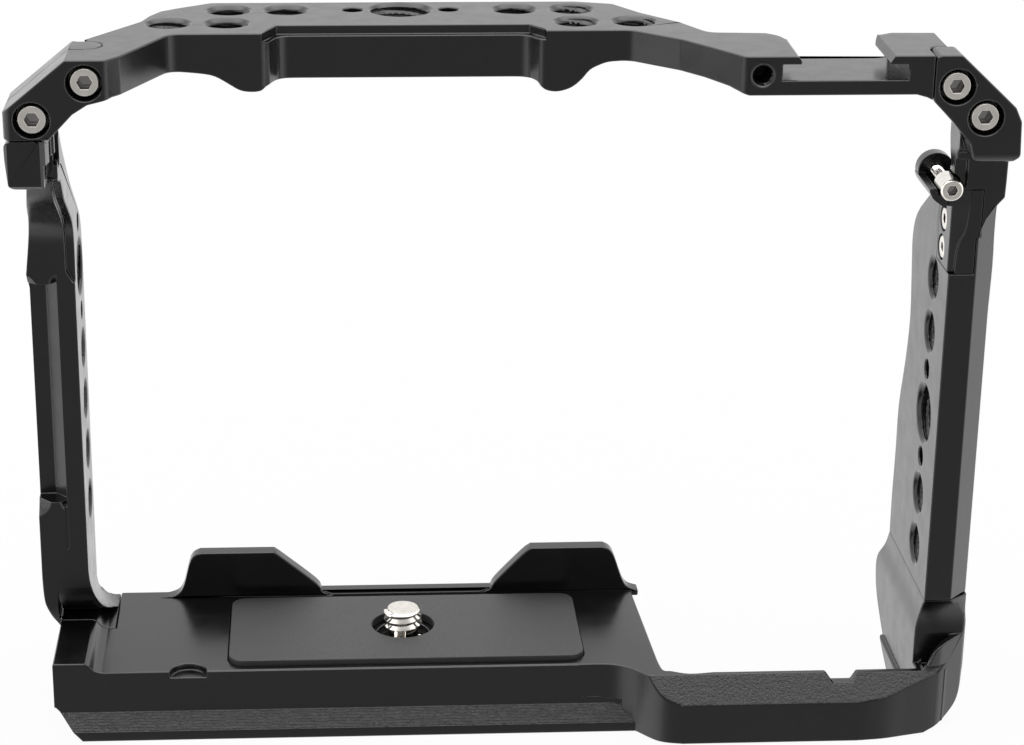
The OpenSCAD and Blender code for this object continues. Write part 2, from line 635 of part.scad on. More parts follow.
module right_side_plate() {
  color(black) difference() {
    union() {
      right_arm();
      intersection() {
        yz(xri, xr) right_profile();
        xz(-30, 20) polygon(concat(
          [[xri, post_z + seam], [xri, neck_z], [xr - 0.4, neck_z], [xr, zt - 14]],
          curve([[xr, zt - 17.5], [xr - 0.1, zt - 23], [xr - 0.5, zt - 29], [xr - 0.3, zt - 36],
                 [xro, zt - 46]], 4),
          [[xro, post_z + seam]]));
      }
    }
    // outer chamfer with its swept end
    intersection() {
      xy(0, zt) polygon([[xro - 3.2, plate_r_near], [xro - 5.2, plate_r_near - 2], [xr + 4, plate_r_near - 2],
        [xr + 4, plate_r_near + 7.4], [xro, plate_r_near + 3.2]]);
      xz(-40, 0) polygon(concat([[xro - 6, post_z - 1]],
        curve([[xro - 6, zt - 34.5], [xro - 4.6, zt - 32.4], [xro - 3.2, zt - 29.8], [xro - 2.6, zt - 28.2],
               [xro - 1.6, zt - 26.5], [xro - 0.4, zt - 24.9], [xr + 0.2, zt - 23.6]], 3),
        [[xr + 3, zt - 23.6], [xr + 3, post_z - 1]]));
    }
    // pocket of the lug bracket
    box([xri - 1, plate_r_near - 1, zt - 30.4], [brk_x1 + seam, brk_far + seam, brk_z1 + seam]);
    box([xri - 1, plate_r_near - 1, brk_z0 - seam], [brk_x1 - 0.7 + seam, brk_far + seam, zt - 30]);
    // room for the anchor
    rod_y(lug_x, lug_z, ear_r + 0.2, nose_near - 0.3, 0);
    rod_y(lug_x, lug_z, lug_head_d / 2 + 0.2, plate_r_near - 1, nose_near);
    box([xri - 1, plate_r_near - 1, brk_z1 - 1], [lug_x + lug_head_d / 2 + 0.2, nose_near, lug_z]);
    box([xri - 1, plate_r_near - 1, lug_z], [xri + 1.8, plate_r_near + 0.9, zt - 17.9]);
    // tapped and locating holes
    hole_x(hole_y_r, hole_z_r, bore_three8, mouth_three8, xri, xro);
    for (s = [-1, 1]) rod_x(hole_y_r, hole_z_r + s * 7.55, bore_pin / 2, xri - 1, xr + 1);
    for (z = [14, 14 + hole_pitch]) for (s = [-1, 1])
      hole_x(hole_y_r, hole_z_r + s * z, bore_quarter, mouth_quarter, xri, xro);
    // joint screws
    for (p = joint_r) {
      rod_y(p[0], p[1], joint_d / 2 + clear, yn - 1, arm_r_far + 1);
      rod_y(p[0], p[1], joint_cb_d / 2, yn - 1, yn + 3.1);
    }
    // bracket screws
    for (p = brk_screws) rod_x(p[0], p[1], small_d / 2 + fit, brk_x1 - 2, xr + 1);
    // screws and pin of the post
    for (y = post_screw_y) translate([post_screw_x, y, post_z - 1]) cylinder(d = joint_d + 2 * fit, h = 7.5);
    translate([post_screw_x, post_pin_y, post_z - 1]) cylinder(r = pin_r + fit, h = 4);
  }
}

joint_l = [[xl + 12.8, zt - 3.45], [xl + 4.9, zt - 9]];
joint_r = [[xr - 10.3, zt - 4.85], [xr - 5.7, zt - 9.6]];
brk_screws = [[-12.8, brk_z1 - 6.16], [-12.5, brk_z0 + 2.55]];

// ---------- top plate ----------

module top_plan() {
  soft(1.4, 2.6) polygon(concat(
    [[xl + 0.6, yn], [-44, yn], [-42, yn + 2.6], [-35.8, -9.2], [-34.6, -8.5], [-21.4, -8.5],
     [-20.4, -7.4], [-18.8, -4], [19, -4], [21.2, -7.3], [34.9, -7.3], [41.6, -13.4],
     [44.6, -17.5], [49.8, yn], [seam_x + 3, yn], [seam_x + 3, arm_r_far - 2], [xr - 4.1, arm_r_far - 2],
     [xr - 4.1, -10.2], [74.4, -9.8], [72.6, -11.1], [57, -11.1], [55.6, -9.6], [46.6, -8.9],
     [43.1, -1.9], [37.6, 5], [34, 11.3], [28, 13.2], [-30.1, 13.2], [-34.7, 9.9], [-37.7, 7.4],
     [-39.3, 4], [-40.4, 0.1], [-48.6, tongue_l_far], [xl + 0.6, tongue_l_far]]));
}

module top_side() {
  soft(0.3, 0.8) polygon(concat(
    [[xl + 0.6, zt - 12.05], [xl + 7.3, zt - 11.95], [xl + 10.9, zt - 8.15], [xl + 13.1, zt - 6.75],
     [xl + 16.7, zt - 5.85]],
    curve([[-37, zt - 5.8], [-33.8, zt - 5.95], [-30.3, zt - 6.3], [-28.6, zt - 6.75], [-27, zt - 7.66],
           [-25, zt - 8.85], [-23.2, zt - 9.12], [-21.8, zt - 8.95], [-21, zt - 8.4], [-20, zt - 8.08]], 3),
    curve([[20, zt - 8.08], [20.7, zt - 8.25], [21.3, zt - 8.95], [22.2, zt - 9.47], [23.6, zt - 9.66],
           [25.1, zt - 9.36], [26.4, zt - 8.7], [27.6, zt - 7.6], [28.7, zt - 6.3], [30, zt - 5.58],
           [31.5, zt - 5.06], [33.5, zt - 4.89]], 3),
    [[45, zt - 4.9], [48, zt - 5.15], [50.7, zt - 5.95], [75.7, zt - 5.95], [seam_x - 0.9, zt - 6.4],
     [seam_x + 0.2, zt - 6.95], [xr - 11, zt - 9.8], [xr - 8, neck_z + seam], [xr - 2.6, neck_z + seam],
     [xr - 2.2, zt - 9.6], [xr - 11, zt], [xl + 10.1, zt], [xl + 0.6, zt - 7.85]]));
}

module top_plate() {
  color(black) difference() {
    intersection() {
      xy(neck_z - 5, zt) top_plan();
      xz(yn - 1, 20) top_side();
    }
    // stepped near lip over the middle
    xy(zt - 1.4, zt + 1) polygon([[-22, -10], [-21.2, -7.3], [-19.4, -3.1], [19.6, -3.1], [21.8, -6.2], [22, -10]]);
    // seat of the left tongue
    box([xl - 1, arm_l_far, neck_z - 6], [tongue_l_x, tongue_l_far + 1, zt + 1]);
    translate([tongue_l_x, arm_l_far + tongue_l_r, neck_z - 6]) cylinder(r = tongue_l_r, h = 20);
    // seat of the right arm
    xy(neck_z - 6, zt + 1) polygon(concat([[xr + 1, arm_r_far], [xr + 1, yn - 1], [seam_x, yn - 1]],
      arc(seam_x + 2, arm_r_far - 2, 2, 180, 90, 8)));
    // cold shoe
    box([shoe_x - shoe_w / 2, yn - 1, shoe_z], [shoe_x + shoe_w / 2, -9, shoe_z + shoe_h]);
    xz(yn - 1, -9) polygon([[shoe_x - shoe_gap / 2, shoe_z], [shoe_x + shoe_gap / 2, shoe_z],
      [shoe_x + shoe_gap / 2, zt - 1], [shoe_x + shoe_gap / 2 + 1, zt + 0.5],
      [shoe_x - shoe_gap / 2 - 0.9, zt + 0.5], [shoe_x - shoe_gap / 2, zt - 0.8]]);
    xy(shoe_z + 0.5, zt + 1) polygon(concat(
      curve([[shoe_x - shoe_gap / 2 - 0.4, -14.4], [shoe_x - shoe_gap / 2 - 1.2, -11.6],
             [shoe_x - shoe_gap / 2 - 2.9, -9.7], [shoe_x - shoe_gap / 2 - 4.5, -9]], 4),
      [[shoe_x + shoe_gap / 2 + 3, -9]],
      curve([[shoe_x + shoe_gap / 2 + 2.6, -9.7], [shoe_x + shoe_gap / 2 + 1.2, -10.4],
             [shoe_x + shoe_gap / 2 + 0.4, -11.6], [shoe_x + shoe_gap / 2 - 0.1, -13.6]], 4)));
    // tapped hole beside the shoe
    rod_y(52.6, zt - 2.95, 1.25, yn - 1, yn + 6);
    translate([52.6, yn + 0.6, zt - 2.95]) rotate([90, 0, 0]) cylinder(r1 = 1.25, r2 = 2.85, h = 1.6);
    // tapped and locating holes
    hole_z(0, top_hole_y, bore_three8, mouth_three8, zt - 8.25, zt);
    for (s = [-1, 1]) translate([s * 7.55, top_hole_y, zt - 12]) cylinder(d = bore_pin, h = 13);
    for (s = [-1, 1]) hole_z(s * 2 * hole_pitch, top_hole_y, bore_quarter, mouth_quarter, zt - 8.25, zt);
    for (s = [-1, 1]) for (p = [[3, 0], [3, 8.9], [4, 8.9]])
      hole_z(s * p[0] * hole_pitch, top_hole_y - p[1], bore_quarter, mouth_quarter, zt - 14, zt);
    // joint screws
    for (p = joint_l) {
      rod_y(p[0], p[1], joint_d / 2 + clear, yn - 1, arm_l_far + 1);
      rod_y(p[0], p[1], joint_cb_d / 2, yn - 1, yn + 3.1);
    }
    for (p = joint_r) rod_y(p[0], p[1], joint_d / 2 + fit, arm_r_far - 1, -13);
  }
}

top_hole_y = 7.8;
shoe_x = 64.9;
shoe_z = zt - 3.65;

// ---------- strap lug bracket ----------

module lug_bracket() {
  color(black) difference() {
    union() {
      box([xri, plate_r_near, zt - 30.4], [brk_x1, brk_far, brk_z1]);
      box([xri, plate_r_near, brk_z0], [brk_x1 - 0.7, brk_far, zt - 30]);
      // nose of the anchor, and the bar that carries it
      rod_y(lug_x, lug_z, ear_r, nose_near, nose_far - 0.8);
      translate([lug_x, nose_far, lug_z]) rotate([90, 0, 0]) cylinder(r1 = ear_r - 0.7, r2 = ear_r, h = 0.8);
      for (k = [[plate_r_near, brk_far - 0.3, xri + 1], [brk_far - 1, nose_far - 1.2, xri - seam]])
        xz(k[0], k[1]) polygon(concat(
          arc(lug_x, lug_z, ear_r + 0.15, 188, 240, 7),
          [[lug_x - 0.4, lug_z - ear_r - 0.6], [k[2], lug_z - ear_r - 0.6], [k[2], lug_z - 1], [lug_x, lug_z]]));
    }
    // trough around the lug screw's head
    rod_y(lug_x, lug_z, lug_head_d / 2 + clear, plate_r_near - 1, nose_near);
    box([lug_x - 4, plate_r_near - 1, lug_z], [lug_x + 4, nose_near, lug_z + 5]);
    xz(plate_r_near - 1, nose_near) polygon([[lug_x, lug_z], [lug_x + lug_head_d / 2 + clear, lug_z],
      [lug_x + 5, lug_z + 0.5], [lug_x, lug_z + 4]]);
    // slanted inner part of the near face
    intersection() {
      xy(0, zt) polygon([[xri - 1, plate_r_near - 1], [xri + 2.9, plate_r_near - 1],
        [xri + 2.9, plate_r_near], [xri - 1, plate_r_near + 1.5]]);
      xz(-40, 0) polygon(concat([[xri - 2, brk_z0 - 1], [xri + 0.8, brk_z0 - 1]],
        curve([[xri + 0.9, brk_z0], [xri + 1.2, brk_z0 + 4.4], [xri + 2.3, brk_z0 + 7.4],
               [xri + 2.7, brk_z1]], 4), [[xri + 2.7, brk_z1 + 1], [xri - 2, brk_z1 + 1]]));
    }
    // screws
    for (p = brk_screws) {
      rod_x(p[0], p[1], small_d / 2 + clear, xri - 1, xr);
      rod_x(p[0], p[1], 2.05, xri - 1, xri + 2);
    }
    rod_y(lug_x, lug_z, small_d / 2 + fit, nose_near - 1, nose_far + 1);
  }
}

module lug_screw() {
  color(nickel) translate([lug_x, lug_head_y + lug_head_l, lug_z]) rotate([90, 0, 0])
    cap_screw(small_d, lug_head_d, lug_head_l, ear_gap + nose_far - nose_near + 0.6, 1.5);
}

module bracket_screw(i) {
  color(nickel) translate([xri + 2, brk_screws[i][0], brk_screws[i][1]]) rotate([0, -90, 0])
    cap_screw(small_d, 3.8, 1.9, 4, 1.5);
}

module joint_screw(p, len) {
  color(nickel) translate([p[0], yn + 3.1, p[1]]) rotate([90, 0, 0])
    cap_screw(joint_d, joint_head_d, 2.5, len, 2);
}

module under_screw(x, y, seat, len) {
  color(nickel) translate([x, y, seat]) rotate([180, 0, 0])
    cap_screw(joint_d, joint_head_d, 2.5, len, 2);
}

module dowel(x, y, z) {
  color(nickel) translate([x, y, z - 2.9]) cylinder(r = pin_r, h = 5.6);
}

base_plate();
camera_pad();
camera_screw();
camera_screw_clip();
left_side_plate();
right_side_plate();
top_plate();
lug_bracket();
lug_screw();
bracket_screw(0);  // bracket_screw_upper
bracket_screw(1);  // bracket_screw_lower
joint_screw(joint_l[0], 8.6);  // top_left_screw_inner
joint_screw(joint_l[1], 8.6);  // top_left_screw_outer
joint_screw(joint_r[0], 8.4);  // top_right_screw_inner
joint_screw(joint_r[1], 8.4);  // top_right_screw_outer
under_screw(foot_screw_x, foot_screw_y[0], foot_z - 2.4, 6);  // left_foot_screw_near
under_screw(foot_screw_x, foot_screw_y[1], foot_z - 2.4, 6);  // left_foot_screw_far
dowel(foot_screw_x, foot_pin_y, foot_z);  // left_foot_pin
under_screw(post_screw_x, post_screw_y[0], post_z - 9, 14.6);  // right_post_screw_near
under_screw(post_screw_x, post_screw_y[1], post_z - 9, 14.6);  // right_post_screw_far
dowel(post_screw_x, post_pin_y, post_z);  // right_post_pin
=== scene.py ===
import json
import math

import bmesh
import bpy
from mathutils import Matrix, Vector
from mathutils.bvhtree import BVHTree

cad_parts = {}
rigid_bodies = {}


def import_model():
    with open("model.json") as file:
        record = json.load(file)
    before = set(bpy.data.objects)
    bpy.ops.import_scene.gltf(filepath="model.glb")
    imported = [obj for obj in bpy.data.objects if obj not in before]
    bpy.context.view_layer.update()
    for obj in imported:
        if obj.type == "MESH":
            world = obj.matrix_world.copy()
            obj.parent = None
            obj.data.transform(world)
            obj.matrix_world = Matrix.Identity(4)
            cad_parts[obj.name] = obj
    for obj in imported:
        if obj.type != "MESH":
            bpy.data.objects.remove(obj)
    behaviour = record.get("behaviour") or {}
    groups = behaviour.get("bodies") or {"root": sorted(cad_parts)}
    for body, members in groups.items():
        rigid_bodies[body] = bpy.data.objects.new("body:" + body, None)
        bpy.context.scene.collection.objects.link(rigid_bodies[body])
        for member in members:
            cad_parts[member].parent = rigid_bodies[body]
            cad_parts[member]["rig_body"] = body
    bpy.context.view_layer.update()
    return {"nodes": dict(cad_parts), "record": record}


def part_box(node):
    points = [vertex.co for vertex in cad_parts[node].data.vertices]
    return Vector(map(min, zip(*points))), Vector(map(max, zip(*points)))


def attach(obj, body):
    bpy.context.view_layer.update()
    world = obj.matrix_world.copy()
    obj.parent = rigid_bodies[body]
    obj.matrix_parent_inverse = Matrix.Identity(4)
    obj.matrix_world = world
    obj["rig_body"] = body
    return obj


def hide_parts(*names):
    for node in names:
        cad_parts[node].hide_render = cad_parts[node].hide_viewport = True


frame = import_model()

MM = 0.001
NODES = frame["nodes"]
MOUNTS = {m["name"]: m for m in frame["record"]["mounts"]}

# the camera: place and lens in mm, turn in degrees, shift in widths of the view
CAMERA_PLACE = (-12.293, -404.126, 207.476)
YAW, PITCH, ROLL = 3.279, 20.301, 0.444
LENS = 93.28
SENSOR = 36
SHIFT = (0.0418, -0.00396)

# how bright glossy faces find the room, by a part of the direction: from, to, level there, level beyond
NEAR_SIDE = (-0.92, -0.45, 0.5, 1.15)
WINGS = (0.35, 0.95, 1.0, 1.5)
CROWN = (0.55, 0.9, 1.0, 4.0)

FLOOR_SIZE = 6
FLOOR_PLACE = (0, 1.2, -0.00005)
FLOOR_GREY = 0.93
FLOOR_GLOW = 0.94

# a noise's values, stretched so that the part between these two fills the whole range
TIGHT = (0.35, 0.65)
BROAD = (0.3, 0.7)

# threads in mm: radius at the root, radius at the crest, pitch
QUARTER_SCREW = (2.55, 3.175, 1.27)
LUG_THREAD = (0.76, 1.0, 0.4)
TAPS = {2.6: (2.54, 3.12, 1.27), 3.975: (3.9, 4.7, 1.5875), 1.25: (1.22, 1.5, 0.5)}
TAP_RUN_OUT = 0.6
BLIND_STOP = 0.25
BLIND = ("tripod", "near")

# plates: width of their broken edges in mm, and the first words of their tapped holes
PLATES = {
    "base_plate": (0.28, ("tripod",)),
    "left_side_plate": (0.2, ("left",)),
    "right_side_plate": (0.3, ("right",)),
    "top_plate": (0.28, ("top", "near")),
    "lug_bracket": (0.16, ())}
PAD_EDGE = 0.2
METAL_EDGE = 0.1
BASE_NEAR = -14.6
BASE_RIM = 1.7

# hex sockets, whose faces get painted shade: the first word of the screws, the axis that they lie along, the
# socket's radius in mm
SOCKETS = {"top": (1, 1.18), "lug": (1, 0.9), "bracket": (0, 0.9), "left": (2, 1.18), "right": (2, 1.18)}
SOCKET_DEPTH = (0.15, 2.2)
LUG_HEAD = 5


# ---------- node trees ----------

def tree_of(block):
    block.use_nodes = True
    tree = block.node_tree
    tree.nodes.clear()
    return tree


def node(tree, kind, sockets=None, **facts):
    """a new node; a socket's value may be a number, a colour or another node's output"""
    made = tree.nodes.new(kind)
    for key, value in facts.items():
        setattr(made, key, value)
    for key, value in (sockets or {}).items():
        if isinstance(value, bpy.types.NodeSocket):
            tree.links.new(value, made.inputs[key])
        else:
            made.inputs[key].default_value = value
    return made


def sums(tree, operation, *values):
    return node(tree, "ShaderNodeMath", dict(enumerate(values)), operation=operation).outputs[0]


def ramp(tree, value, rule):
    """a soft step from one level to another"""
    start, end, low, high = rule
    return node(tree, "ShaderNodeMapRange", {0: value, 1: start, 2: end, 3: low, 4: high},
                interpolation_type="SMOOTHSTEP").outputs[0]


def span(tree, value, low, high, part):
    """spreads a part of a noise's values evenly between two levels"""
    return node(tree, "ShaderNodeMapRange", {0: value, 1: part[0], 2: part[1], 3: low, 4: high}).outputs[0]


def noise(tree, where, scale, detail, rough):
    return node(tree, "ShaderNodeTexNoise", {"Vector": where, "Scale": scale, "Detail": detail,
                                             "Roughness": rough}).outputs["Fac"]


# ---------- studio ----------

def aim_camera():
    data = bpy.data.cameras.new("view")
    data.lens = LENS
    data.sensor_width = SENSOR
    data.shift_x, data.shift_y = SHIFT
    data.clip_start = 0.01
    data.clip_end = 20
    yaw, pitch, roll = (math.radians(a) for a in (YAW, PITCH, ROLL))
    ahead = Vector((math.sin(yaw) * math.cos(pitch), math.cos(yaw) * math.cos(pitch), -math.sin(pitch)))
    side = Vector((math.cos(yaw), -math.sin(yaw), 0))
    up = side.cross(ahead)
    right = math.cos(roll) * side + math.sin(roll) * up
    top = -math.sin(roll) * side + math.cos(roll) * up
    camera = bpy.data.objects.new("view", data)
    bpy.context.scene.collection.objects.link(camera)
    camera.matrix_world = Matrix((right, top, -ahead)).transposed().to_4x4()
    camera.location = Vector(CAMERA_PLACE) * MM
    bpy.context.scene.camera = camera


def mirrored_level(tree, way):
    """how bright the room is where a glossy face looks: dim in front, brighter to the sides and overhead"""
    split = node(tree, "ShaderNodeSeparateXYZ", {0: way})
    front = ramp(tree, split.outputs["Y"], NEAR_SIDE)
    wings = ramp(tree, sums(tree, "ABSOLUTE", split.outputs["X"]), WINGS)
    crown = ramp(tree, split.outputs["Z"], CROWN)
    return sums(tree, "MULTIPLY", sums(tree, "MULTIPLY", front, wings), crown)


def light_world():
    """a plain white room, in which only glossy faces find brighter and dimmer sides"""
    world = bpy.data.worlds.new("studio")
    bpy.context.scene.world = world
    tree = tree_of(world)
    level = mirrored_level(tree, node(tree, "ShaderNodeTexCoord").outputs["Generated"])
    grey = node(tree, "ShaderNodeCombineColor", {0: level, 1: level, 2: level}).outputs[0]
    path = node(tree, "ShaderNodeLightPath")
    mix = node(tree, "ShaderNodeMix", {0: path.outputs["Is Glossy Ray"], 6: (1, 1, 1, 1), 7: grey},
               data_type="RGBA")
    glow = node(tree, "ShaderNodeBackground", {"Color": mix.outputs[2], "Strength": 1.0})
    out = node(tree, "ShaderNodeOutputWorld")
    tree.links.new(glow.outputs[0], out.inputs[0])


def lay_floor():
    """a pale floor that keeps the shadow; glossy faces see the room through it"""
    bpy.ops.mesh.primitive_plane_add(size=FLOOR_SIZE, location=FLOOR_PLACE)
    floor = bpy.context.object
    floor.name = "floor"
    matter = bpy.data.materials.new("floor")
    tree = tree_of(matter)
    path = node(tree, "ShaderNodeLightPath")
    seen = sums(tree, "MAXIMUM", path.outputs["Is Camera Ray"], path.outputs["Is Transmission Ray"])
    share = sums(tree, "MULTIPLY", seen, FLOOR_GLOW)
    paint = node(tree, "ShaderNodeBsdfDiffuse", {"Color": (FLOOR_GREY, FLOOR_GREY, FLOOR_GREY, 1)})
    white = node(tree, "ShaderNodeEmission", {"Color": (1, 1, 1, 1), "Strength": 1.0})
    pale = node(tree, "ShaderNodeMixShader", {0: share, 1: paint.outputs[0], 2: white.outputs[0]})
    clear = node(tree, "ShaderNodeBsdfTransparent", {"Color": (1, 1, 1, 1)})
    mix = node(tree, "ShaderNodeMixShader", {0: path.outputs["Is Glossy Ray"], 1: pale.outputs[0],
                                             2: clear.outputs[0]})
    out = node(tree, "ShaderNodeOutputMaterial")
    tree.links.new(mix.outputs[0], out.inputs[0])
    floor.data.materials.append(matter)


# ---------- finishes, one with a painted highlight ---

def finish_tree(name):
    """a material with its shader and output, and the place on the piece that its patterns follow"""
    matter = bpy.data.materials.new(name)
    tree = tree_of(matter)
    shader = node(tree, "ShaderNodeBsdfPrincipled")
    out = node(tree, "ShaderNodeOutputMaterial")
    tree.links.new(shader.outputs[0], out.inputs[0])
    where = node(tree, "ShaderNodeTexCoord").outputs["Object"]
    return matter, tree, shader, where


def times(colour, share):
    return tuple(c * share for c in colour)


def tone(tree, shader, pattern, dark, light):
    """the colour wanders between two tones"""
    mix = node(tree, "ShaderNodeMix", {0: pattern, 6: dark + (1,), 7: light + (1,)}, data_type="RGBA")
    tree.links.new(mix.outputs[2], shader.inputs["Base Color"])


def emboss(tree, shader, height, strength, depth):
    bump = node(tree, "ShaderNodeBump", {"Height": height, "Strength": strength, "Distance": depth * MM})
    tree.links.new(bump.outputs[0], shader.inputs["Normal"])


def anodised():
    """bead-blasted and anodised aluminium"""
    matter, tree, shader, where = finish_tree("black_anodised")
    black = (0.0042, 0.0042, 0.0048)
    cloud = noise(tree, where, 90, 4, 0.55)
    tone(tree, shader, span(tree, cloud, 0, 1, TIGHT), times(black, 0.86), times(black, 1.15))
    smear = noise(tree, where, 260, 3, 0.6)
    tree.links.new(span(tree, smear, 0.19, 0.27, BROAD), shader.inputs["Roughness"])
    beads = noise(tree, where, 5200, 2, 0.6)
    swell = noise(tree, where, 700, 2, 0.5)
    emboss(tree, shader, sums(tree, "MULTIPLY_ADD", swell, 0.5, beads), 0.03, 0.4)
    shader.inputs["IOR"].default_value = 1.48
    return matter


def coarse_skin_and_highlight(name, rows=0.0):
    """the rough blasted bands, with fine machining lines where rows is above 0; their grey is partly the
    blasted grain and partly a painted highlight for the light these faces catch
    """
    matter, tree, shader, where = finish_tree(name)
    grains = noise(tree, where, 2300, 3, 0.65)
    # painted highlight: the grain's tones run far above the black anodising, partly for the rough grain and
    # partly for the light these faces catch
    tone(tree, shader, span(tree, grains, 0, 1, TIGHT), (0.004, 0.004, 0.0045), (0.026, 0.026, 0.027))
    tree.links.new(span(tree, grains, 0.36, 0.52, TIGHT), shader.inputs["Roughness"])
    relief = grains
    if rows:
        lines = node(tree, "ShaderNodeTexWave", {"Vector": where, "Scale": 900, "Distortion": 2.5,
                                                 "Detail": 2.0}, wave_type="BANDS", bands_direction="Z")
        relief = sums(tree, "MULTIPLY_ADD", lines.outputs["Fac"], rows, grains)
    emboss(tree, shader, relief, 0.75, 0.3)
    return matter


def rubber():
    """fine-pored matt rubber"""
    matter, tree, shader, where = finish_tree("pad_rubber")
    pores = noise(tree, where, 3200, 4, 0.7)
    cloud = noise(tree, where, 160, 3, 0.5)
    tone(tree, shader, cloud, (0.016, 0.016, 0.017), (0.024, 0.024, 0.025))
    tree.links.new(span(tree, pores, 0.44, 0.62, BROAD), shader.inputs["Roughness"])
    emboss(tree, shader, pores, 0.22, 0.3)
    return matter


def plated(name, tint):
    """polished plating with small scuffs"""
    matter, tree, shader, where = finish_tree(name)
    cloud = noise(tree, where, 900, 3, 0.6)
    tone(tree, shader, span(tree, cloud, 0, 1, TIGHT), times(tint, 0.88), tint)
    shader.inputs["Metallic"].default_value = 1.0
    scuff = noise(tree, where, 2600, 4, 0.7)
    tree.links.new(span(tree, scuff, 0.09, 0.17, BROAD), shader.inputs["Roughness"])
    emboss(tree, shader, scuff, 0.03, 0.1)
    return matter


# ---------- hand tools ----------

def let_go():
    bpy.ops.object.select_all(action="DESELECT")


def take(piece):
    let_go()
    piece.hide_set(False)
    piece.select_set(True)
    bpy.context.view_layer.objects.active = piece


def edit_all(piece):
    """edit mode with the whole mesh selected"""
    take(piece)
    bpy.ops.object.mode_set(mode="EDIT")
    bpy.ops.mesh.select_mode(type="VERT")
    bpy.ops.mesh.select_all(action="SELECT")


def leave():
    bpy.ops.object.mode_set(mode="OBJECT")


def clean(piece, flat=0.0):
    """merges doubles, turns the faces outwards and, with flat in degrees, dissolves flat triangles"""
    edit_all(piece)
    bpy.ops.mesh.remove_doubles(threshold=1e-6)
    bpy.ops.mesh.normals_make_consistent(inside=False)
    if flat:
        bpy.ops.mesh.dissolve_limited(angle_limit=math.radians(flat))
    leave()


def copy_of(name, piece_name, flat=0.4):
    """the CAD node's own mesh as a piece that can be worked on"""
    piece = bpy.data.objects.new(piece_name, NODES[name].data.copy())
    bpy.context.scene.collection.objects.link(piece)
    piece.data.materials.clear()
    clean(piece, flat)
    return piece


def modify(piece, kind, **facts):
    take(piece)
    made = piece.modifiers.new(kind.lower(), kind)
    for key, value in facts.items():
        setattr(made, key, value)
    bpy.ops.object.modifier_apply(modifier=made.name)


def cut(piece, tool, solver="MANIFOLD"):
    modify(piece, "BOOLEAN", object=tool, operation="DIFFERENCE", solver=solver)
    bpy.data.objects.remove(tool)


def settle(piece):
    """its place and turn go into its mesh"""
    take(piece)
    bpy.ops.object.transform_apply(location=True, rotation=True, scale=True)


def smooth(piece, angle=42):
    take(piece)
    bpy.ops.object.shade_smooth_by_angle(angle=math.radians(angle))
    modify(piece, "WEIGHTED_NORMAL", keep_sharp=True, weight=60)


def in_zone(point, zones):
    """whether a point lies in one of the round threaded stretches"""
    for place, axis, radius, half in zones:
        off = point - place
        along = off.dot(axis)
        if abs(along) < half and (off - axis * along).length < radius:
            return True
    return False


# ---------- broken edges ----------

def room_in_face(edge, loop, sharp, alone=0.9, shared=0.45):
    """how far a bevel of this edge can reach into one face: alone or shared are the part of the way
    that it takes to a corner or an edge, shared where that has a bevel of its own"""
    free = 1.0
    along = (loop.link_loop_next.vert.co - loop.vert.co).normalized()
    inward = loop.face.normal.cross(along)
    for corner, side in ((loop.vert, loop.link_loop_prev.edge),
                         (loop.link_loop_next.vert, loop.link_loop_next.edge)):
        far_end = side.other_vert(corner)
        away = far_end.co - corner.co
        deep = away.dot(inward)
        if deep >= 0.5 * away.length:
            met = any(e in sharp for e in far_end.link_edges)
            free = min(free, deep * (shared if met else alone))
    ends = [v.co for v in edge.verts]
    for other in loop.face.edges:
        if other not in sharp or other is edge or set(other.verts) & set(edge.verts):
            continue
        a, b = (v.co for v in other.verts)
        for point in (ends[0], (ends[0] + ends[1]) / 2, ends[1]):
            t = max(0.0, min(1.0, (point - a).dot(b - a) / max((b - a).length_squared, 1e-18)))
            reach = a.lerp(b, t) - point
            if reach.dot(inward) > 0.6 * reach.length:
                free = min(free, reach.length * shared)
    return free


def break_edges(piece, width, zones=(), rim=None, times_rim=1.0, angle=28):
    """bevels the sharp edges outside the threads, each as wide as the faces beside it allow;
    the rim's edges get their own width"""
    mesh = bmesh.new()
    mesh.from_mesh(piece.data)
    plain = [v for v in mesh.verts if not in_zone(v.co, zones)]
    bmesh.ops.remove_doubles(mesh, verts=plain, dist=6e-5)
    bmesh.ops.dissolve_degenerate(mesh, edges=mesh.edges[:], dist=1e-6)
    weight = mesh.edges.layers.float.new("bevel_weight_edge")
    sharp = {e for e in mesh.edges if len(e.link_faces) == 2
             and e.calc_face_angle(0.0) > math.radians(angle)
             and not in_zone((e.verts[0].co + e.verts[1].co) / 2, zones)}
    most = width * times_rim
    for edge in sharp:
        size = min([width * MM] + [room_in_face(edge, loop, sharp) for loop in edge.link_loops])
        if rim and edge.calc_length() > 1.2 * MM and rim(edge):
            size = most * MM
        edge[weight] = max(0.0, size / (most * MM))
    mesh.to_mesh(piece.data)
    mesh.free()
    modify(piece, "BEVEL", width=most * MM, segments=3, limit_method="WEIGHT",
           use_clamp_overlap=False, miter_outer="MITER_SHARP", harden_normals=False)


def settle_skin(piece, source, zones=(), most=0.3):
    """brings corners that a bevel threw off the CAD surface back onto it"""
    body = bmesh.new()
    body.from_mesh(source.data)
    skin = BVHTree.FromBMesh(body)
    for vert in piece.data.vertices:
        if in_zone(vert.co, zones):
            continue
        near, normal, _, away = skin.find_nearest(vert.co)
        if away > most * MM or (away > 2e-6 and (vert.co - near).dot(normal) > 0):
            vert.co = near
    body.free()
    piece.data.update()


# ---------- threads ----------

